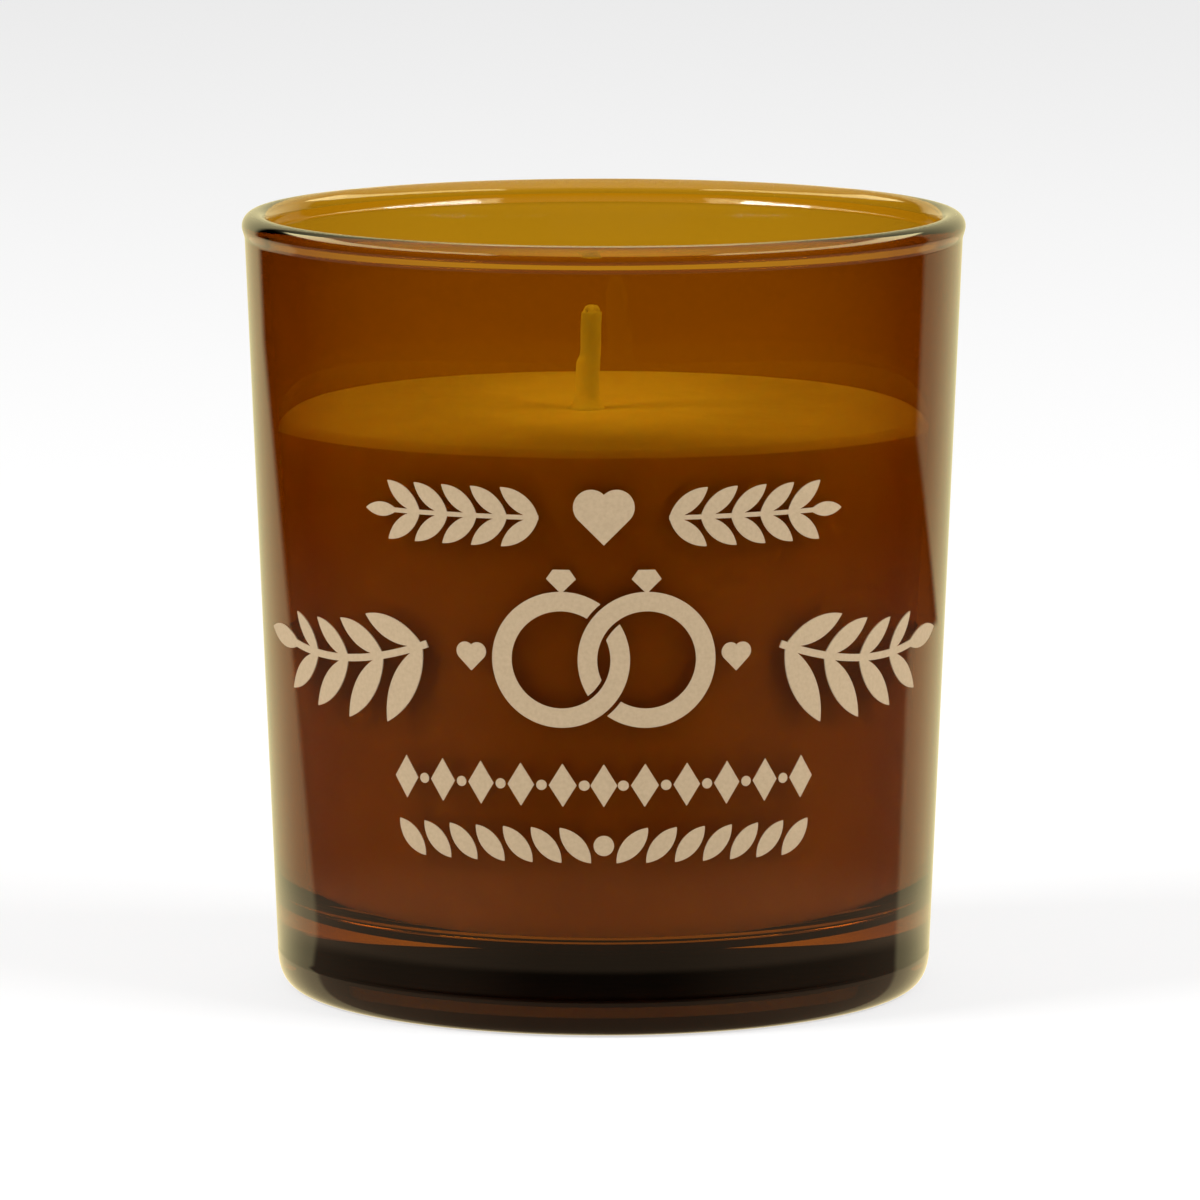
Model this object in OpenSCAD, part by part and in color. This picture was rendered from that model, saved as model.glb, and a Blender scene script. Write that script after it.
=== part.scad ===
// Container candle for a wedding table: a heavy-based tumbler with an amber lacquer with a poured wax fill,
// a braided wick in a steel sustainer, and a printed front.
// The tumbler's axis is +Z, its foot ring stands on z = 0, and the printed front faces -Y.

/* [Tumbler] */
// Outside diameter over the rim bead
rim_d = 80; // [72:0.5:95]
// Overall height
glass_h = 86.2; // [78:0.1:110]
// Radial thickness of the rounded rim bead
bead_t = 2.94; // [2.4:0.02:3.6]
// How far the bead stands out from the wall below it
bead_proud = 0.2; // [0.1:0.05:0.6]
// Height over which the wall swells out to the bead
swell_h = 1.5; // [1:0.1:4]
// How much smaller the outer radius is at the foot than at the rim
outer_taper = 3.6; // [1:0.1:5]
// Wall thickness just above the base
low_wall_t = 3.3; // [2.6:0.1:4.5]
// Depth of the straight mouth that takes a lid
mouth_h = 8; // [4:0.5:12]
// Height of the floor inside, above the table
base_t = 8.8; // [7.5:0.1:14]
// Radius of the rounded corner inside, where the wall meets the base
floor_r = 4.5; // [3:0.5:10]
// Width of the rounded heel outside
heel_w = 2.8; // [1.5:0.1:4]
// Height of that heel
heel_h = 4.7; // [2.5:0.1:7]
// Fullness of the heel: 2 is an ellipse, more is squarer
heel_fullness = 2.6; // [2:0.1:3.5]
// Width of the flat foot ring
foot_w = 1.2; // [1:0.1:3]
// Height of the steep step inside the foot ring
step_h = 2.1; // [1:0.1:2.4]
// How far that step leans in
step_lean = 0.5; // [0.3:0.1:1]
// Width of the sloping band above the step
slope_w = 1.3; // [0.8:0.1:3]
// Height of that band
slope_h = 0.8; // [0.4:0.1:1.2]
// Height of the hollow's ceiling at its middle
punt_h = 4.2; // [3.7:0.1:5]

/* [Wax] */
// Height of the wax surface above the table
wax_level = 64.1; // [45:0.1:70]
// How far the wax drops at the wall, where it shrank as it set
shoulder_drop = 0.8; // [0.2:0.1:1.5]
// Width of that rounded shoulder
shoulder_w = 2; // [0.5:0.1:3]

/* [Wick] */
// Diameter of the braided sleeve
wick_d = 2; // [1.4:0.1:3]
// Diameter of the core thread
core_d = 0.9; // [0.5:0.1:1.2]
// Length of wick that stands out of the wax
stub_h = 11.9; // [5:0.1:15]
// Where the wick stands, sideways from the tumbler's axis
wick_x = -1.5; // [-4:0.1:4]
// Thickness of the wax that primes the stub
coat_t = 0.17; // [0.1:0.01:0.3]
// Radius of the little cone of wax at the stub's foot
coat_foot_r = 2; // [1.5:0.1:3.5]

/* [Sustainer] */
// Diameter of the steel disc
disc_d = 20; // [12:0.5:30]
// Thickness of the sheet steel
steel_t = 0.35; // [0.2:0.05:0.6]
// Height of the neck that grips the wick
neck_h = 6; // [3:0.5:9]
// Thickness of the double-sided sticker under the disc
sticker_t = 0.5; // [0.3:0.1:1]

/* [Print] */
// Thickness of the fired ink
ink_t = 0.12; // [0.08:0.01:0.2]
// Height of the middle of the rings and hearts
motif_z = 41.6; // [35:0.1:46]
// Outside diameter of each printed ring
ring_d = 14.8; // [10:0.2:16]
// Width of a ring's band
ring_band = 2.1; // [1:0.1:3]
// Width of each heart
heart_w = 3.4; // [2:0.1:5]
// Angle round the tumbler from its front to each heart
heart_turn = 22; // [20:0.5:26]
// Angle round the tumbler from its front to the middle of each sprig
sprig_turn = 47.5; // [45:0.5:54]

/* [Hidden] */
$fn = 96;

rim_r = rim_d / 2;
bead_r = bead_t / 2;
mouth_r = rim_r - bead_t;
top_outer_r = rim_r - bead_proud;
foot_outer_r = top_outer_r - outer_taper;
mouth_z = glass_h - mouth_h;
contact_r = outer_r(heel_h) - heel_w;
ring_inner_r = contact_r - foot_w;
corner_z = base_t + floor_r;
corner_inner_r = outer_r(corner_z) - low_wall_t;
inner_slope = (mouth_r - corner_inner_r) / (mouth_z - corner_z);
inner_lean = atan(inner_slope);
sticker_z = base_t;
steel_z = sticker_z + sticker_t;
wick_r = wick_d / 2;
core_r = core_d / 2;
neck_r = wick_r + steel_t;
wick_top_z = wax_level + stub_h;
tiny = 0.01;
arc_steps = 14;

// Radius of the straight outer wall at a height.
function outer_r(z) = foot_outer_r + outer_taper * z / glass_h;

// Radius of the inner wall at a height, above the rounded corner.
function inner_r(z) = mouth_r - inner_slope * (mouth_z - z);

// Points along an arc of a circle or ellipse, from one angle to another.
function arc(centre, rx, ry, from, to) =
    [for (i = [0:arc_steps])
        let (a = from + (to - from) * i / arc_steps)
        centre + [rx * cos(a), ry * sin(a)]];

// The rounded corner between floor and inner wall, tangent to both.
function floor_corner() =
    arc([corner_inner_r - floor_r / cos(inner_lean), corner_z], floor_r, floor_r, -90, -inner_lean);

// The hollow under the base: a shallow dome, a sloping band and a steep step, from the axis out.
function punt() =
    let (step_r = ring_inner_r - step_lean)
    [[0, punt_h], [step_r - slope_w, step_h + slope_h], [step_r, step_h], [ring_inner_r, 0]];

// The heel, from the foot ring up to the wall.
function heel() =
    [for (i = [0:arc_steps])
        let (a = 90 * i / arc_steps)
        [contact_r + heel_w * pow(sin(a), 2 / heel_fullness),
            heel_h * (1 - pow(cos(a), 2 / heel_fullness))]];

// The swell of the wall out to the bead, up to the bead's widest point.
function swell(top_z) =
    [for (i = [0:arc_steps])
        let (t = i / arc_steps, z = top_z - swell_h * (1 - t))
        [outer_r(z) + (rim_r - outer_r(top_z)) * (1 - cos(180 * t)) / 2, z]];

// ---- Tumbler ----

module glass_tumbler() {
    bead_centre = [rim_r - bead_r, glass_h - bead_r];
    color([0.55, 0.27, 0.03, 0.6])
        rotate_extrude()
            polygon(concat(
                punt(),
                heel(),
                swell(bead_centre[1]),
                arc(bead_centre, bead_r, bead_r, 0, 180),
                [[mouth_r, mouth_z]],
                reverse(floor_corner()),
                [[0, base_t]]
            ));
}

function reverse(list) = [for (i = [len(list) - 1:-1:0]) list[i]];

// ---- Wax ----

module wax_fill() {
    edge_z = wax_level - shoulder_drop;
    edge_r = inner_r(edge_z);
    color([0.93, 0.88, 0.76])
        difference() {
            rotate_extrude()
                polygon(concat(
                    [[0, base_t]],
                    floor_corner(),
                    [for (i = [0:arc_steps])
                        let (t = i / arc_steps)
                        [edge_r - shoulder_w * t, wax_level - shoulder_drop * pow(1 - t, 2)]],
                    [[0, wax_level]]
                ));
            at_wick() {
                translate([0, 0, sticker_z - tiny])
                    cylinder(h = sticker_t + tiny, d = disc_d);
                sustainer_body();
                translate([0, 0, steel_z])
                    cylinder(h = wax_level, r = wick_r);
            }
        }
}

// ---- Wick ----

module at_wick() {
    translate([wick_x, 0, 0])
        children();
}

module wick_braid() {
    color([0.95, 0.93, 0.86])
        at_wick()
            translate([0, 0, steel_z])
                linear_extrude(wick_top_z - steel_z)
                    difference() {
                        circle(wick_r);
                        circle(core_r);
                    }
}

module wick_core() {
    core_proud = 0.25;
    color([0.88, 0.84, 0.74])
        at_wick()
            translate([0, 0, steel_z])
                cylinder(h = wick_top_z + core_proud - steel_z, r = core_r);
}

// The priming wax on the stub, with a low cone where it runs out over the wax surface.
module wick_wax_coat() {
    bare_tip = 0.6;
    cone_h = 2.4;
    coat_r = wick_r + coat_t;
    color([0.94, 0.9, 0.8])
        at_wick()
            translate([0, 0, wax_level])
                rotate_extrude()
                    polygon([
                        [wick_r, 0],
                        [coat_foot_r, 0],
                        [coat_r, cone_h],
                        [coat_r, stub_h - bare_tip],
                        [wick_r, stub_h - bare_tip]
                    ]);
}

// ---- Sustainer ----

// The pressed disc and neck as one solid, with no bore.
module sustainer_body() {
    boss_r = neck_r + 1.6;
    boss_h = 0.9;
    translate([0, 0, steel_z])
        rotate_extrude()
            polygon([
                [0, 0],
                [disc_d / 2, 0],
                [disc_d / 2, steel_t],
                [boss_r, steel_t],
                [neck_r, steel_t + boss_h],
                [neck_r, neck_h],
                [0, neck_h]
            ]);
}

module wick_sustainer() {
    color([0.75, 0.75, 0.77])
        at_wick()
            difference() {
                sustainer_body();
                translate([0, 0, steel_z - 1])
                    cylinder(h = neck_h + 2, r = wick_r);
            }
}

module wick_sticker() {
    color([0.9, 0.9, 0.88])
        at_wick()
            translate([0, 0, sticker_z])
                cylinder(h = sticker_t, d = disc_d);
}

// ---- Print ----

// Lays flat artwork on the outer wall: x runs round the wall and y up it, from a point on the wall.
module ink(turn = 0, z = motif_z) {
    reach = 24;
    low = z - reach / 2;
    color([0.75, 0.66, 0.52])
        intersection() {
            translate([0, 0, low])
                difference() {
                    cylinder(h = reach, r1 = outer_r(low) + ink_t, r2 = outer_r(low + reach) + ink_t);
                    cylinder(h = reach, r1 = outer_r(low), r2 = outer_r(low + reach));
                }
            rotate([0, 0, turn])
                translate([0, -rim_r / 2, z])
                    rotate([90, 0, 0])
                        linear_extrude(rim_r)
                            children();
        }
}

// A pointed leaf that grows from the origin along +y.
module leaf(length, width) {
    r = (pow(length, 2) + pow(width, 2)) / (4 * width);
    translate([0, length / 2])
        intersection() {
            translate([r - width / 2, 0])
                circle(r);
            translate([width / 2 - r, 0])
                circle(r);
        }
}

// A heart as wide as asked, centred on the origin.
module heart(width) {
    side = width / (1 + 1 / sqrt(2));
    translate([0, -side * 0.05])
        rotate(45) {
            square(side, center = true);
            translate([0, side / 2])
                circle(d = side);
            translate([side / 2, 0])
                circle(d = side);
        }
}

module ring(d, band) {
    difference() {
        circle(d = d);
        circle(d = d - 2 * band);
    }
}

module diamond(width, height) {
    polygon([[width / 2, 0], [0, height / 2], [-width / 2, 0], [0, -height / 2]]);
}

// A run of paired leaves on a straight stem, pointing along +x.
module leafy_stem(pairs, step, size) {
    length = pairs * step;
    stem_w = 0.5;
    translate([-length / 2, -stem_w / 2])
        square([length, stem_w]);
    for (i = [0:pairs - 1], side = [-1, 1])
        translate([-length / 2 + i * step, 0])
            rotate(side * 38 - 90)
                leaf(size, size * 0.36);
    translate([length / 2 - stem_w, 0])
        rotate(-90)
            leaf(size * 0.8, size * 0.3);
}

// The garland over the motif: a heart between two leafy stems.
module print_garland() {
    garland_z = motif_z + 15.4;
    side_turn = turn_of(15.6, garland_z);
    ink(0, garland_z)
        heart(6.6);
    for (side = [-1, 1])
        ink(side * side_turn, garland_z)
            mirror([side < 0 ? 1 : 0, 0])
                leafy_stem(5, 3.4, 5.2);
}

// Two linked rings with a stone on each.
module print_rings() {
    apart = ring_d * 0.31;
    stone_y = ring_d / 2 + 0.2;
    ink()
        for (side = [-1, 1])
            mirror([side < 0 ? 1 : 0, 0]) {
                linked_ring(apart, -side);
                translate([apart, stone_y])
                    stone();
            }
}

// One ring, cut away at the crossing where the other ring passes over it.
module linked_ring(apart, under) {
    gap = 0.45;
    mid_r = (ring_d - ring_band) / 2;
    crossing_y = sqrt(pow(mid_r, 2) - pow(apart, 2));
    difference() {
        translate([apart, 0])
            ring(ring_d, ring_band);
        intersection() {
            translate([-apart, 0])
                ring(ring_d + 2 * gap, ring_band + 2 * gap);
            translate([0, under * crossing_y])
                circle(ring_band * 1.5);
        }
    }
}

// A cut stone, standing on its point.
module stone() {
    polygon([[0, -0.4], [1.6, 1.2], [0.9, 2.2], [-0.9, 2.2], [-1.6, 1.2]]);
}

module print_hearts() {
    for (side = [-1, 1])
        ink(side * heart_turn)
            heart(heart_w);
}

// A laurel branch in a shallow arc, with leaves on both sides and one at its tip.
module sprig() {
    arc_r = 40;
    stem_w = 0.8;
    first = -111;
    last = -80.5;
    pairs = 4;
    spread = 41;
    big_leaf = 10;
    small_leaf = 7.4;
    slimness = 0.31;
    inside_share = 0.8;
    translate([2.9, arc_r - 1.6]) {
        intersection() {
            ring(2 * arc_r + stem_w, stem_w);
            polygon([[0, 0], 2 * arc_r * [cos(first), sin(first)], 2 * arc_r * [cos(last), sin(last)]]);
        }
        for (i = [0:pairs - 1], side = [-1, 1]) {
            share = side > 0 ? inside_share : 1;
            size = share * (big_leaf + (small_leaf - big_leaf) * i / (pairs - 1));
            rotate(first + (last - first) * (i + 0.12) / pairs)
                translate([arc_r, 0])
                    rotate(side * spread)
                        leaf(size, size * slimness);
        }
        rotate(last - 1)
            translate([arc_r, 0])
                leaf(small_leaf, small_leaf * slimness);
    }
}

module print_sprig_right() {
    ink(sprig_turn)
        sprig();
}

module print_sprig_left() {
    ink(-sprig_turn)
        mirror([1, 0])
            sprig();
}

// A border of diamonds with dots between them.
module print_diamond_border() {
    border_z = motif_z - 13.7;
    step = 4.5;
    count = 5;
    side_turn = turn_of(step * (count + 1) / 2, border_z);
    ink(0, border_z)
        diamond(2.9, 4.7);
    for (side = [-1, 1])
        ink(side * side_turn, border_z)
            for (i = [0:count - 1])
                translate([(i - (count - 1) / 2) * step, 0]) {
                    diamond(2.9, 4.7);
                    translate([-side * step / 2, 0])
                        circle(d = 1.1);
                }
}

// A border of slanting leaves that lead away from a dot in the middle.
module print_leaf_border() {
    border_z = motif_z - 20.3;
    step = 3.1;
    count = 7;
    side_turn = turn_of(step * (count + 1) / 2, border_z);
    ink(0, border_z)
        circle(d = 2.2);
    for (side = [-1, 1])
        ink(side * side_turn, border_z)
            mirror([side < 0 ? 1 : 0, 0])
                for (i = [0:count - 1])
                    translate([(i - count / 2) * step, -1.9])
                        rotate(-40)
                            leaf(5, 2);
}

// Angle round the tumbler, from its front, of a length along the wall.
function turn_of(length, z) = length / outer_r(z) * 180 / PI;

glass_tumbler();
wax_fill();
wick_braid();
wick_core();
wick_wax_coat();
wick_sustainer();
wick_sticker();
print_garland();
print_rings();
print_hearts();
print_sprig_left();
print_sprig_right();
print_diamond_border();
print_leaf_border();
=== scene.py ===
"""Looks of a wedding container candle: lacquered tumbler, poured wax, primed wick and printed front.

Everything is in metres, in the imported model's frame: the tumbler's axis is +Z, its foot stands on
z = 0, and the printed front faces -Y, towards the camera.
"""

import math

import bmesh
import bpy
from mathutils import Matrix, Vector, noise


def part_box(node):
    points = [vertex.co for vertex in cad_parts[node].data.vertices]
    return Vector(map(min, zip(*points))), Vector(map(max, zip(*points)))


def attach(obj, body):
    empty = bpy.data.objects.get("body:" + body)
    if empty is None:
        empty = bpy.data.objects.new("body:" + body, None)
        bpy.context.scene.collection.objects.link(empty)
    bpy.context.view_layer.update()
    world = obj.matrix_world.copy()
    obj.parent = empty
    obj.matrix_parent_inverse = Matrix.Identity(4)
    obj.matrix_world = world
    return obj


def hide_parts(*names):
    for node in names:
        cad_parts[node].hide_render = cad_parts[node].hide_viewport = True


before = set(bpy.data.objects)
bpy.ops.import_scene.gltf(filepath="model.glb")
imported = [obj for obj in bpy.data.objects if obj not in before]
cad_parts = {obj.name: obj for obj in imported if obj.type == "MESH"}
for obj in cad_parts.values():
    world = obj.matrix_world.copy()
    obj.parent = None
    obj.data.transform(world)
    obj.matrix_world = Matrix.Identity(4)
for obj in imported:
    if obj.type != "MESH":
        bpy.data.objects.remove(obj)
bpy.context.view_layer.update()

MM = 0.001
BODY = "root"

# ---- Sizes: boxes from the frame, and the few that a box can't give ----

glass_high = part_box("glass_tumbler")[1]
wax_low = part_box("wax_fill")[0]
braid_low, braid_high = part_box("wick_braid")
core_low, core_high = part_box("wick_core")
coat_low, coat_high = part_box("wick_wax_coat")

RIM_R = glass_high.x
HEIGHT = glass_high.z
BASE_T = wax_low.z
WAX_TOP = coat_low.z
WICK_X = (braid_low.x + braid_high.x) / 2
WICK_R = (braid_high.x - braid_low.x) / 2
CORE_R = (core_high.x - core_low.x) / 2

# Rim and wall, down to the rounded corner inside.
BEAD_PROUD = 0.2 * MM
BEAD_T = 2.94 * MM
SWELL_H = 1.5 * MM
OUTER_TAPER = 3.6 * MM
LOW_WALL_T = 3.3 * MM
MOUTH_H = 8 * MM
FLOOR_R = 4.5 * MM

# Outside heel, foot ring, and the underside's step, slope and dome.
HEEL_W = 2.8 * MM
HEEL_H = 4.7 * MM
HEEL_FULLNESS = 2.6
FOOT_W = 1.2 * MM
STEP_H = 2.1 * MM
STEP_LEAN = 0.5 * MM
SLOPE_W = 1.3 * MM
SLOPE_H = 0.8 * MM
PUNT_H = 4.2 * MM

# The wax's rounded shoulder, and a hair's breadth that keeps its surface off the glass.
SHOULDER_DROP = 0.8 * MM
SHOULDER_W = 2 * MM
WAX_GAP = 0.04 * MM

# ---- Colours and light ----

LACQUER = (0.216, 0.05, 0.00003)
TURNED_LACQUER = (0.1, 0.0135, 0.00001)
# Painted shade: the near-black colour of the opaque underside stands in for the shade in the thick
# base.
UNDERSIDE_SHADE = (0.038, 0.027, 0.015)
WAX_LIGHT = (0.88, 0.77, 0.6)
WAX_DARK = (0.83, 0.71, 0.54)
INK_LIGHT = (0.535, 0.398, 0.246)
INK_DARK = (0.478, 0.352, 0.214)
BACKDROP_SHEEN = (1, 0.88, 0.47)
FRONT_SHEEN = (1, 0.7, 0.43)
FLOOR_GREY = 0.4
FLOOR_GLOW = 0.62

# How bright the room is as light on the candle, where straight behind it is 1. The wax gets more of
# it through the glass, to make up for the light that the lacquer takes.
ROOM_ABOVE = 0.27
ROOM_FRONT = 0.12
ROOM_THROUGH_GLASS = 2.25


def outer_r(z):
    """Radius of the straight outer wall at a height."""
    return RIM_R - BEAD_PROUD - OUTER_TAPER * (1 - z / HEIGHT)


def inner_r(z):
    """Radius of the inner wall at a height, above the rounded corner."""
    return MOUTH_R - INNER_SLOPE * (MOUTH_Z - z)


MOUTH_R = RIM_R - BEAD_T
MOUTH_Z = HEIGHT - MOUTH_H
CORNER_Z = BASE_T + FLOOR_R
CORNER_R = outer_r(CORNER_Z) - LOW_WALL_T
INNER_SLOPE = (MOUTH_R - CORNER_R) / (MOUTH_Z - CORNER_Z)
INNER_LEAN = math.atan(INNER_SLOPE)
CORNER_CENTRE = (CORNER_R - FLOOR_R / math.cos(INNER_LEAN), CORNER_Z)


# ---- Mesh helpers ----

SHARP_ANGLE = math.radians(25)
ON_AXIS = 1e-7


def angles(count):
    return [2 * math.pi * k / count for k in range(count)]


def smooth(t):
    """An S-shaped step from 0 to 1."""
    t = min(max(t, 0), 1)
    return t * t * (3 - 2 * t)


def arc(centre, radius, start, end, steps):
    """Points along an arc in the (radius, height) plane, angles in degrees."""
    points = []
    for i in range(steps + 1):
        a = math.radians(start + (end - start) * i / steps)
        points.append((centre[0] + radius * math.cos(a), centre[1] + radius * math.sin(a)))
    return points


def line(start, end, steps):
    """Points along a straight line, without its end."""
    return [(start[0] + (end[0] - start[0]) * i / steps, start[1] + (end[1] - start[1]) * i / steps)
            for i in range(steps)]


def add_object(name, mesh):
    obj = bpy.data.objects.new(name, mesh)
    bpy.context.scene.collection.objects.link(obj)
    return obj


def to_object(name, mesh):
    """Makes an object of a bmesh, smooth apart from its sharp edges."""
    bmesh.ops.recalc_face_normals(mesh, faces=mesh.faces)
    data = bpy.data.meshes.new(name)
    mesh.to_mesh(data)
    mesh.free()
    data.shade_smooth()
    data.set_sharp_from_angle(angle=SHARP_ANGLE)
    return add_object(name, data)


def skin(mesh, rings, material_at=None):
    """Faces between neighbouring rings. A ring of one vertex closes the surface to a point."""
    segments = max(len(ring) for ring in rings)
    for index, (low, high) in enumerate(zip(rings, rings[1:])):
        for k in range(segments):
            nxt = (k + 1) % segments
            corners = [low[k % len(low)], low[nxt % len(low)],
                       high[nxt % len(high)], high[k % len(high)]]
            face = list(dict.fromkeys(corners))
            if len(face) > 2:
                mesh.faces.new(face).material_index = material_at(index) if material_at else 0


def lathe(name, profile, segments, shift=None, material_at=None):
    """A surface of revolution from one point on the axis to another.

    shift(x, y, z, index) may return a change of height for each vertex, and material_at(index) the
    material of the faces between profile points index and index + 1.
    """
    mesh = bmesh.new()
    rings = []
    for index, (r, z) in enumerate(profile):
        ring = []
        for a in angles(1 if r < ON_AXIS else segments):
            x, y = r * math.cos(a), r * math.sin(a)
            rise = shift(x, y, z, index) if shift else 0
            ring.append(mesh.verts.new((x, y, z + rise)))
        rings.append(ring)
    skin(mesh, rings, material_at)
    return to_object(name, mesh)


def add_tube(mesh, path, radii, sides):
    """A closed round tube along a path of points, with a radius at each."""
    rings = [[mesh.verts.new(path[0])]]
    for i, (point, radius) in enumerate(zip(path, radii)):
        along = (path[min(i + 1, len(path) - 1)] - path[max(i - 1, 0)]).normalized()
        side = along.cross(Vector((0, 1, 0))).normalized()
        up = side.cross(along)
        rings.append([mesh.verts.new(point + radius * (side * math.cos(a) + up * math.sin(a)))
                      for a in angles(sides)])
    rings.append([mesh.verts.new(path[-1])])
    skin(mesh, rings)


# ---- Node helpers ----

def new_material(name):
    material = bpy.data.materials.new(name)
    material.use_nodes = True
    tree = material.node_tree
    tree.nodes.clear()
    output = tree.nodes.new("ShaderNodeOutputMaterial")
    return material, tree, output


def add(tree, kind, **values):
    """Adds a node. Values name its properties, or its inputs by name with spaces as underscores."""
    node = tree.nodes.new(kind)
    for key, value in values.items():
        if hasattr(node, key):
            setattr(node, key, value)
        else:
            node.inputs[key.replace("_", " ")].default_value = value
    return node


def ramp(tree, source, stops):
    """A colour ramp with stops as (position, colour)."""
    node = tree.nodes.new("ShaderNodeValToRGB")
    elements = node.color_ramp.elements
    while len(elements) < len(stops):
        elements.new(0.5)
    for element, (position, colour) in zip(elements, stops):
        element.position = position
        element.color = (*colour, 1)
    tree.links.new(source, node.inputs["Fac"])
    return node.outputs["Color"]


def object_noise(tree, scale, detail=3.0):
    """Noise fixed to the object, in cells per metre."""
    place = tree.nodes.new("ShaderNodeTexCoord").outputs["Object"]
    node = add(tree, "ShaderNodeTexNoise", Scale=scale, Detail=detail)
    tree.links.new(place, node.inputs["Vector"])
    return node.outputs["Fac"]


def add_bump(tree, shader, height, strength, distance):
    bump = add(tree, "ShaderNodeBump", Strength=strength, Distance=distance)
    tree.links.new(height, bump.inputs["Height"])
    tree.links.new(bump.outputs["Normal"], shader.inputs["Normal"])


def set_materials(obj, materials):
    for material in materials:
        obj.data.materials.append(material)


def finish_piece(obj, materials, replaces=()):
    set_materials(obj, materials)
    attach(obj, BODY)
    if replaces:
        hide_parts(*replaces)
    return obj


# ---- Materials ----

def glass_material(name):
    material, tree, output = new_material(name)
    glass = add(tree, "ShaderNodeBsdfPrincipled", Roughness=0.0, IOR=1.5)
    glass.inputs["Base Color"].default_value = (1, 1, 1, 1)
    glass.inputs["Transmission Weight"].default_value = 1.0
    tree.links.new(glass.outputs["BSDF"], output.inputs["Surface"])
    return material, tree, glass


def lacquered_glass():
    """Glass with a transparent amber lacquer, which looks deeper where the surface turns away."""
    material, tree, glass = glass_material("amber_glass")
    facing = add(tree, "ShaderNodeLayerWeight", Blend=0.5).outputs["Facing"]
    colour = ramp(tree, facing, [(0.05, LACQUER), (0.47, TURNED_LACQUER)])
    tree.links.new(colour, glass.inputs["Base Color"])
    return material


def bare_glass():
    """The tumbler's clear inside, faintly uneven as pressed glass is."""
    material, tree, glass = glass_material("clear_glass")
    add_bump(tree, glass, object_noise(tree, 120.0, 1.0), 0.15, 0.05 * MM)
    return material


def underside_shade_material():
    """The lacquered underside, drawn as an opaque, all but black matte surface with a faint random
    mottle: painted shade for the darkness seen through the thick base.
    """
    material, tree, output = new_material("underside_painted_shade")
    lacquer = add(tree, "ShaderNodeBsdfPrincipled", Roughness=0.5, IOR=1.0)
    lacquer.inputs["Specular IOR Level"].default_value = 0.0
    darker = tuple(value * 0.7 for value in UNDERSIDE_SHADE)
    tree.links.new(ramp(tree, object_noise(tree, 300.0), [(0.3, darker), (0.7, UNDERSIDE_SHADE)]),
                   lacquer.inputs["Base Color"])
    tree.links.new(lacquer.outputs["BSDF"], output.inputs["Surface"])
    return material


def wax_material(name, light, dark):
    """Soft wax: light passes a little way in, and the surface is faintly mottled."""
    material, tree, output = new_material(name)
    wax = add(tree, "ShaderNodeBsdfPrincipled", Roughness=0.5, IOR=1.44)
    wax.subsurface_method = "RANDOM_WALK"
    wax.inputs["Subsurface Weight"].default_value = 0.6
    wax.inputs["Subsurface Radius"].default_value = (1.0, 0.7, 0.4)
    wax.inputs["Subsurface Scale"].default_value = 2.5 * MM
    tree.links.new(ramp(tree, object_noise(tree, 160.0, 4.0), [(0.38, dark), (0.62, light)]),
                   wax.inputs["Base Color"])
    add_bump(tree, wax, object_noise(tree, 1400.0), 0.25, 0.06 * MM)
    tree.links.new(wax.outputs["BSDF"], output.inputs["Surface"])
    return material


def cotton_material(name, light, dark):
    """Cotton yarn: fine fibres and a soft sheen."""
    material, tree, output = new_material(name)
    yarn = add(tree, "ShaderNodeBsdfPrincipled", Roughness=0.8)
    yarn.inputs["Sheen Weight"].default_value = 0.3
    fibre = object_noise(tree, 6000.0, 2.0)
    tree.links.new(ramp(tree, fibre, [(0.35, dark), (0.65, light)]), yarn.inputs["Base Color"])
    add_bump(tree, yarn, fibre, 0.5, 0.03 * MM)
    tree.links.new(yarn.outputs["BSDF"], output.inputs["Surface"])
    return material


def steel_material():
    material, tree, output = new_material("sustainer_steel")
    steel = add(tree, "ShaderNodeBsdfPrincipled", Metallic=1.0)
    steel.inputs["Base Color"].default_value = (0.66, 0.66, 0.68, 1)
    tree.links.new(ramp(tree, object_noise(tree, 900.0, 5.0), [(0.3, (0.22,) * 3), (0.7, (0.42,) * 3)]),
                   steel.inputs["Roughness"])
    tree.links.new(steel.outputs["BSDF"], output.inputs["Surface"])
    return material


def plain_material(name, light, dark, roughness, scale):
    """An opaque matte surface with a fine grain."""
    material, tree, output = new_material(name)
    surface = add(tree, "ShaderNodeBsdfPrincipled", Roughness=roughness)
    surface.inputs["Specular IOR Level"].default_value = 0.3
    tree.links.new(ramp(tree, object_noise(tree, scale), [(0.3, dark), (0.7, light)]),
                   surface.inputs["Base Color"])
    tree.links.new(surface.outputs["BSDF"], output.inputs["Surface"])
    return material


# ---- Tumbler ----

# The tumbler's materials: lacquered glass, clear glass, and the underside, whose near-black colour is
# painted shade.
LACQUERED, BARE, UNDER = range(3)
TUMBLER_SIDES = 256


def heel_curve(contact_r, steps=36):
    """The outside heel, from the foot ring up to the wall: an ellipse made a little fuller."""
    points = []
    for i in range(steps + 1):
        a = math.pi / 2 * i / steps
        out = math.sin(a) ** (2 / HEEL_FULLNESS)
        up = 1 - max(math.cos(a), 0) ** (2 / HEEL_FULLNESS)
        points.append((contact_r + HEEL_W * out, HEEL_H * up))
    return points


def swell_curve(top_z, steps=20):
    """The swell of the wall out to the bead, up to just below the bead's widest point."""
    points = []
    for i in range(steps):
        z = top_z - SWELL_H * (1 - i / steps)
        out = (1 - math.cos(math.pi * i / steps)) / 2
        points.append((outer_r(z) + (RIM_R - outer_r(top_z)) * out, z))
    return points


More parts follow.
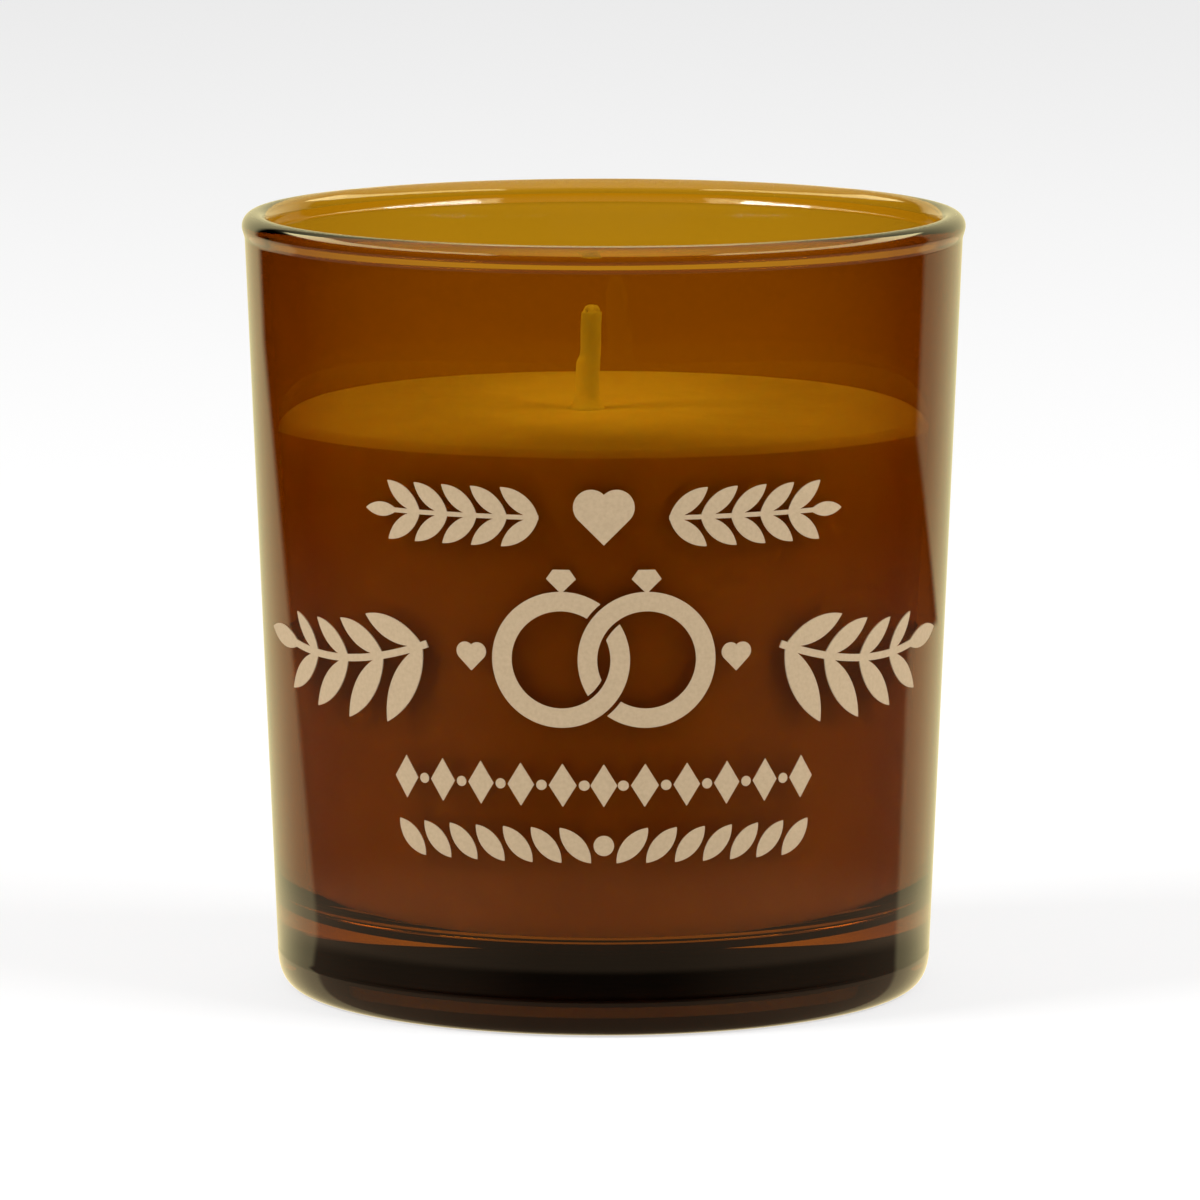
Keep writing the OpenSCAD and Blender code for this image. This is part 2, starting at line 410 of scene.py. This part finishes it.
def tumbler_outline():
    """The outline from the underside round to the floor inside, in stretches of one material."""
    contact_r = outer_r(HEEL_H) - HEEL_W
    ring_inner_r = contact_r - FOOT_W
    bead_r = BEAD_T / 2
    bead_centre = (RIM_R - bead_r, HEIGHT - bead_r)
    step = (ring_inner_r - STEP_LEAN, STEP_H)
    shoulder = (step[0] - SLOPE_W, STEP_H + SLOPE_H)
    ring = (ring_inner_r, 0)
    heel = heel_curve(contact_r)
    swell = swell_curve(bead_centre[1])
    bead = arc(bead_centre, bead_r, 0, 180, 36)
    crown = len(bead) * 2 // 5
    corner = arc(CORNER_CENTRE, FLOOR_R, -math.degrees(INNER_LEAN), -90, 24)
    mouth = (MOUTH_R, MOUTH_Z)
    floor = line(corner[-1], (0, BASE_T), 10) + [(0, BASE_T)]
    return [
        # The underside's dome, and its step down to the foot ring, take the near-black painted shade.
        (line((0, PUNT_H), shoulder, 10), UNDER),
        (line(shoulder, step, 6), LACQUERED),
        (line(step, ring, 4) + [ring], UNDER),
        (heel[:-1] + line(heel[-1], swell[0], 20) + swell, LACQUERED),
        (bead[:crown], LACQUERED),
        (bead[crown:] + line(mouth, corner[0], 20) + corner[:-1] + floor, BARE),
    ]


def make_tumbler(materials):
    outline = tumbler_outline()
    profile = [point for points, _ in outline for point in points]
    kinds = [kind for points, kind in outline for _ in points]
    tumbler = lathe("tumbler_glass", profile, TUMBLER_SIDES,
                    material_at=lambda index: kinds[index])
    return finish_piece(tumbler, materials, ["glass_tumbler"])


# ---- Wax ----

# Shallow pits in the wax, in mm: x, y, radius, depth.
PITS = ((2.5, 4.0, 1.3, 0.16), (-9.0, -5.0, 2.2, 0.08), (12.0, -12.0, 1.8, 0.08))
CALM_EDGE_W = 6 * MM
WAVES_PER_M, WAVE_H = 90, 0.12 * MM
RIPPLES_PER_M, RIPPLE_H = 400, 0.03 * MM
WAX_SIDES = 192


def settled_surface(x, y):
    """Slow waves, fine ripples and the pits of the set surface, as a change of height."""
    height = noise.noise(Vector((x, y, 3.0)) * WAVES_PER_M) * WAVE_H
    height += noise.noise(Vector((x, y, 7.0)) * RIPPLES_PER_M) * RIPPLE_H
    for pit_x, pit_y, pit_r, depth in PITS:
        near = 1 - math.hypot(x - pit_x * MM, y - pit_y * MM) / (pit_r * MM)
        height -= depth * MM * smooth(near)
    return height


def make_wax(material):
    radius = FLOOR_R - WAX_GAP
    corner = arc(CORNER_CENTRE, radius, -90, -math.degrees(INNER_LEAN), 20)
    edge_z = WAX_TOP - SHOULDER_DROP
    edge = (inner_r(edge_z) - WAX_GAP, edge_z)
    shoulder = [(edge[0] - SHOULDER_W * t, WAX_TOP - SHOULDER_DROP * (1 - t) ** 2)
                for t in (i / 16 for i in range(16))]
    start = (0, corner[0][1])
    sides = line(start, corner[0], 8) + corner[:-1] + line(corner[-1], edge, 24) + shoulder
    top = line((edge[0] - SHOULDER_W, WAX_TOP), (0, WAX_TOP), 60) + [(0, WAX_TOP)]

    def settle(x, y, z, index):
        if index < len(sides):
            return 0
        return settled_surface(x, y) * smooth((edge[0] - math.hypot(x, y)) / CALM_EDGE_W)

    wax = lathe("wax_body", sides + top, WAX_SIDES, settle)
    return finish_piece(wax, [material], ["wax_fill"])


# ---- Wick ----

WICK_LEAN = 0.38 * MM
WICK_TOP = braid_high.z
TIP_H = 0.4 * MM
STRAND_COUNT = 8
STRAND_R = 0.31 * MM
BRAID_PITCH = 5.2 * MM
WEAVE_DEPTH = 0.1 * MM
TIP_GATHER = 0.45
PRIMER_T = 0.14 * MM
PRIMER_RIPPLE = 0.03 * MM
PRIMER_SUNK = 0.1 * MM
PRIMER_GRIP = 0.12 * MM
PRIMER_FOOT_W = 0.75 * MM
PRIMER_FOOT_H = 0.7 * MM
LIP_H = 0.15 * MM
LIP_SHARE = 0.14
DRIP_T = 0.4 * MM
DRIP_TOP = WAX_TOP + 6.2 * MM
DRIP_END_H = 1.0 * MM
DRIP_BEARING = math.radians(200)


def wick_centre(z):
    """The wick stands upright in the wax and leans a little to the right above it."""
    above = (z - WAX_TOP) / (WICK_TOP - WAX_TOP)
    if above < 0:
        return Vector((WICK_X - WICK_LEAN / 2 * smooth(1 + above), 0, z))
    return Vector((WICK_X + WICK_LEAN * (above - 0.5), 0, z))


def tip_rounding(z, top):
    """1 along the wick, falling to 0 at its rounded top."""
    t = min(max((z - (top - TIP_H)) / TIP_H, 0), 1)
    return math.sqrt(1 - t * t)


def make_strands(material):
    """Strands that spiral both ways round the core and pass over and under each other."""
    mesh = bmesh.new()
    steps = 420
    low = braid_low.z
    for strand in range(STRAND_COUNT):
        way = 1 if strand % 2 else -1
        start = 2 * math.pi * (strand // 2) / (STRAND_COUNT / 2)
        path, radii = [], []
        for i in range(steps + 1):
            z = low + (WICK_TOP - low) * i / steps
            turn = 2 * math.pi * (z - low) / BRAID_PITCH
            crossing = math.sin(turn * STRAND_COUNT / 2 + (0 if way > 0 else math.pi))
            gather = max(tip_rounding(z, WICK_TOP), TIP_GATHER)
            r = (WICK_R - STRAND_R - WEAVE_DEPTH * (1 - crossing)) * gather
            a = start + way * turn
            path.append(wick_centre(z) + Vector((r * math.cos(a), r * math.sin(a), 0)))
            radii.append(STRAND_R)
        add_tube(mesh, path, radii, 10)
    return finish_piece(to_object("wick_strands", mesh), [material], ["wick_braid"])


def make_core(material):
    mesh = bmesh.new()
    steps = 60
    path = [wick_centre(core_low.z + (core_high.z - core_low.z) * i / steps) for i in range(steps + 1)]
    radii = [CORE_R * tip_rounding(point.z, core_high.z + 0.1 * MM) for point in path]
    add_tube(mesh, path, radii, 24)
    thread = to_object("wick_core_thread", mesh)
    return finish_piece(thread, [material], ["wick_core"])


def primer_r(z, a):
    """Outside radius of the primer: a thin skin, a foot that runs out on the wax, and one drip."""
    up = z - WAX_TOP
    skin_r = WICK_R + PRIMER_T + PRIMER_RIPPLE * math.sin(3 * a + z / MM)
    foot = PRIMER_FOOT_W * math.exp(-up / PRIMER_FOOT_H)
    side = max(math.cos(a - DRIP_BEARING), 0) ** 2
    drip = DRIP_T * side * smooth((DRIP_TOP - z) / DRIP_END_H)
    return skin_r + foot + drip


def make_primer(material):
    """The skin of hard wax, with a lip at its bare end and an inside that hugs the strands."""
    mesh = bmesh.new()
    segments, steps = 48, 70
    low, high = WAX_TOP - PRIMER_SUNK, coat_high.z
    heights = [low + (high - low) * i / steps for i in range(steps + 1)]
    rings = []
    for z in heights:
        lip = 1 - LIP_SHARE * (1 - tip_rounding(z, high + LIP_H))
        rings.append([primer_r(z, a) * lip for a in angles(segments)])
    inner = [[WICK_R - PRIMER_GRIP] * segments] * 2
    loops = []
    for radii, z in zip(rings + inner, heights + [high, low]):
        centre = wick_centre(z)
        loops.append([mesh.verts.new(centre + Vector((r * math.cos(a), r * math.sin(a), 0)))
                      for r, a in zip(radii, angles(segments))])
    skin(mesh, loops + loops[:1])
    return finish_piece(to_object("wick_primer", mesh), [material], ["wick_wax_coat"])


# ---- Build ----

wax = wax_material("candle_wax", WAX_LIGHT, WAX_DARK)
primer = wax_material("primer_wax", (0.88, 0.8, 0.63), (0.82, 0.73, 0.56))
cotton = cotton_material("wick_cotton", (0.88, 0.84, 0.74), (0.74, 0.69, 0.58))
core = cotton_material("wick_core_thread", (0.78, 0.72, 0.6), (0.64, 0.58, 0.46))
ink = plain_material("print_ink", INK_LIGHT, INK_DARK, 0.62, 2600.0)
sticker = plain_material("sticker_film", (0.8, 0.8, 0.77), (0.74, 0.74, 0.71), 0.6, 1500.0)

make_tumbler([lacquered_glass(), bare_glass(), underside_shade_material()])
make_wax(wax)
make_strands(cotton)
make_core(core)
make_primer(primer)

carried_over = {"wick_sustainer": steel_material(), "wick_sticker": sticker}
carried_over.update({name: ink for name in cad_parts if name.startswith("print_")})
for name, material in carried_over.items():
    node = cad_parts[name]
    node.data.materials.clear()
    set_materials(node, [material])


# ---- Studio ----

class Maths:
    """Short names for the node arithmetic of one tree."""

    def __init__(self, tree):
        self.tree = tree

    def op(self, operation, *values):
        node = add(self.tree, "ShaderNodeMath", operation=operation)
        for socket, value in zip(node.inputs, values):
            if isinstance(value, (int, float)):
                socket.default_value = value
            else:
                self.tree.links.new(value, socket)
        return node.outputs[0]

    def plus(self, a, b):
        return self.op("ADD", a, b)

    def minus(self, a, b):
        return self.op("SUBTRACT", a, b)

    def times(self, a, b):
        return self.op("MULTIPLY", a, b)

    def larger(self, a, b):
        return self.op("MAXIMUM", a, b)

    def smaller(self, a, b):
        return self.op("MINIMUM", a, b)

    def smooth(self, value, start, end):
        """0 at start, 1 at end, either way round."""
        node = add(self.tree, "ShaderNodeMapRange", interpolation_type="SMOOTHSTEP",
                   From_Min=start, From_Max=end)
        self.tree.links.new(value, node.inputs["Value"])
        return node.outputs["Result"]

    def tint(self, level, colour):
        node = add(self.tree, "ShaderNodeVectorMath", operation="SCALE")
        node.inputs[0].default_value = colour
        self.tree.links.new(level, node.inputs["Scale"])
        return node.outputs[0]

    def sum(self, a, b):
        node = add(self.tree, "ShaderNodeVectorMath", operation="ADD")
        self.tree.links.new(a, node.inputs[0])
        self.tree.links.new(b, node.inputs[1])
        return node.outputs[0]

    def choose(self, factor, a, b):
        node = add(self.tree, "ShaderNodeMix", data_type="RGBA")
        self.tree.links.new(factor, node.inputs["Factor"])
        self.tree.links.new(a, node.inputs[6])
        self.tree.links.new(b, node.inputs[7])
        return node.outputs[2]


# The mirrored room is laid out in the x, y and z of a direction out of the candle, each from -1 to 1:
# x to the right, y straight behind the candle, z up.
BACKDROP_EDGE = 0.57
SLANT = 4.9
SLANT_LEVEL = 1.35
SLANT_LOW, SLANT_HIGH = -0.173, -0.11
NOTCH_TOP, NOTCH_LOW = -0.121, -0.139
NOTCH_SLOPE = 17.0
NOTCH_REACH = 0.019
WALL_TAPER = 0.08
VEIL_FRONT = 0.06
VEIL_SIDE = 0.16
TABLE_TOP = -0.166
TABLE_LEVEL = 0.3
WINDOW_LEVEL = 6.0
LIGHT_OVERHEAD = (0.35, 0.75)


def backdrop_edge(m, x, height):
    """The y where the pale backdrop starts: slanting on the left, notched on the right."""
    slope = m.smaller(m.larger(height, SLANT_LOW), SLANT_HIGH)
    left = m.plus(m.times(slope, SLANT), SLANT_LEVEL)
    drop = m.smaller(m.larger(m.minus(NOTCH_TOP, height), 0.0), NOTCH_REACH)
    notch = m.times(m.times(drop, NOTCH_SLOPE), m.smooth(height, NOTCH_LOW - 0.004, NOTCH_LOW))
    right = m.plus(notch, BACKDROP_EDGE)
    on_left = m.op("LESS_THAN", x, 0.0)
    return m.plus(right, m.times(m.minus(left, right), on_left))


def mirrored_windows(m, x, z):
    """Two high windows, one on each side, which put the bright glints on the rim."""
    level = m.times(m.smooth(z, 0.42, 0.48), m.smooth(z, 0.68, 0.62))
    return m.times(m.times(level, m.smooth(m.op("ABSOLUTE", x), 0.5, 0.55)), WINDOW_LEVEL)


def mirrored_room(m, x, y, z):
    """What the glass mirrors: a warm backdrop, a dark front, two windows and a pale table edge.

    The height allows for the wall's taper, which tips its mirror image down the more it faces front.
    """
    facing = m.op("SQRT", m.larger(m.times(m.minus(1.0, y), 0.5), 0.0))
    height = m.plus(z, m.times(facing, WALL_TAPER))
    behind = m.smooth(m.minus(y, backdrop_edge(m, x, height)), -0.03, 0.04)
    behind = m.times(behind, m.plus(m.times(m.smooth(y, 0.6, 0.95), 0.4), 0.6))
    pale = m.larger(m.larger(behind, m.smooth(z, *LIGHT_OVERHEAD)), mirrored_windows(m, x, z))
    veil = m.plus(m.times(m.smooth(m.op("ABSOLUTE", x), 0.3, 0.95), VEIL_SIDE), VEIL_FRONT)
    veil = m.times(veil, m.smooth(height, -0.127, -0.152))
    table = m.times(m.smooth(height, TABLE_TOP, TABLE_TOP - 0.007), TABLE_LEVEL)
    return m.sum(m.tint(pale, BACKDROP_SHEEN), m.tint(m.plus(veil, table), FRONT_SHEEN))


def studio_world():
    """A bright studio: white all round for what is seen, dimmer in front for what lights the candle."""
    world = bpy.data.worlds.new("studio")
    world.use_nodes = True
    bpy.context.scene.world = world
    tree = world.node_tree
    tree.nodes.clear()
    output = tree.nodes.new("ShaderNodeOutputWorld")
    background = tree.nodes.new("ShaderNodeBackground")
    direction = tree.nodes.new("ShaderNodeTexCoord").outputs["Generated"]
    split = tree.nodes.new("ShaderNodeSeparateXYZ")
    tree.links.new(direction, split.inputs[0])
    x, y, z = split.outputs
    m = Maths(tree)
    rays = tree.nodes.new("ShaderNodeLightPath").outputs
    behind = m.times(m.smooth(y, 0.55, 0.72), 1 - ROOM_FRONT)
    above = m.times(m.smooth(z, *LIGHT_OVERHEAD), ROOM_ABOVE - ROOM_FRONT)
    open_air = m.plus(m.larger(behind, above), ROOM_FRONT)
    lighting = m.times(m.smaller(rays["Diffuse Depth"], 1.0), ROOM_THROUGH_GLASS - 1)
    through_glass = m.times(rays["Is Transmission Ray"], m.plus(lighting, 1.0))
    level = m.larger(m.larger(open_air, through_glass), rays["Is Camera Ray"])
    colour = m.choose(rays["Is Glossy Ray"], m.tint(level, (1, 1, 1)), mirrored_room(m, x, y, z))
    tree.links.new(colour, background.inputs["Color"])
    tree.links.new(background.outputs["Background"], output.inputs["Surface"])


def make_floor():
    mesh = bmesh.new()
    bmesh.ops.create_grid(mesh, x_segments=1, y_segments=1, size=6)
    data = bpy.data.meshes.new("floor")
    mesh.to_mesh(data)
    mesh.free()
    floor = add_object("floor", data)
    material, tree, output = new_material("floor_white")
    diffuse = add(tree, "ShaderNodeBsdfDiffuse")
    diffuse.inputs["Color"].default_value = (FLOOR_GREY, FLOOR_GREY, FLOOR_GREY, 1)
    glow = add(tree, "ShaderNodeEmission", Strength=FLOOR_GLOW)
    both = add(tree, "ShaderNodeAddShader")
    tree.links.new(diffuse.outputs[0], both.inputs[0])
    tree.links.new(glow.outputs[0], both.inputs[1])
    tree.links.new(both.outputs[0], output.inputs["Surface"])
    data.materials.append(material)
    floor.visible_glossy = False


def soft_box(name, bearing, size, watts):
    """A rectangular light at a bearing from the front, in degrees to the right."""
    distance, height = 1.25, 1.05
    a = math.radians(bearing)
    place = Vector((distance * math.sin(a), -distance * math.cos(a), height))
    data = bpy.data.lights.new(name, "AREA")
    data.shape = "RECTANGLE"
    data.size, data.size_y = size
    data.energy = watts
    light = bpy.data.objects.new(name, data)
    light.location = place
    light.visible_glossy = False
    light.rotation_euler = (Vector((0, 0, 0.05)) - place).to_track_quat("-Z", "Y").to_euler()
    bpy.context.scene.collection.objects.link(light)


def make_camera():
    distance = 1018.3 * MM
    tilt = math.radians(7.99)
    aim = Vector((-0.41 * MM, 0, 42.79 * MM))
    data = bpy.data.cameras.new("camera")
    data.sensor_width = 36
    data.lens = 274.7
    data.clip_start = 0.01
    camera = bpy.data.objects.new("camera", data)
    camera.location = aim + distance * Vector((0, -math.cos(tilt), math.sin(tilt)))
    camera.rotation_euler = (math.radians(90) - tilt, 0, 0)
    bpy.context.scene.collection.objects.link(camera)
    bpy.context.scene.camera = camera


studio_world()
make_floor()
soft_box("front_left", -67, (0.7, 0.5), 19)
soft_box("front_right", 67, (1.0, 0.5), 19)
make_camera()
bpy.context.scene.view_settings.view_transform = "Standard"
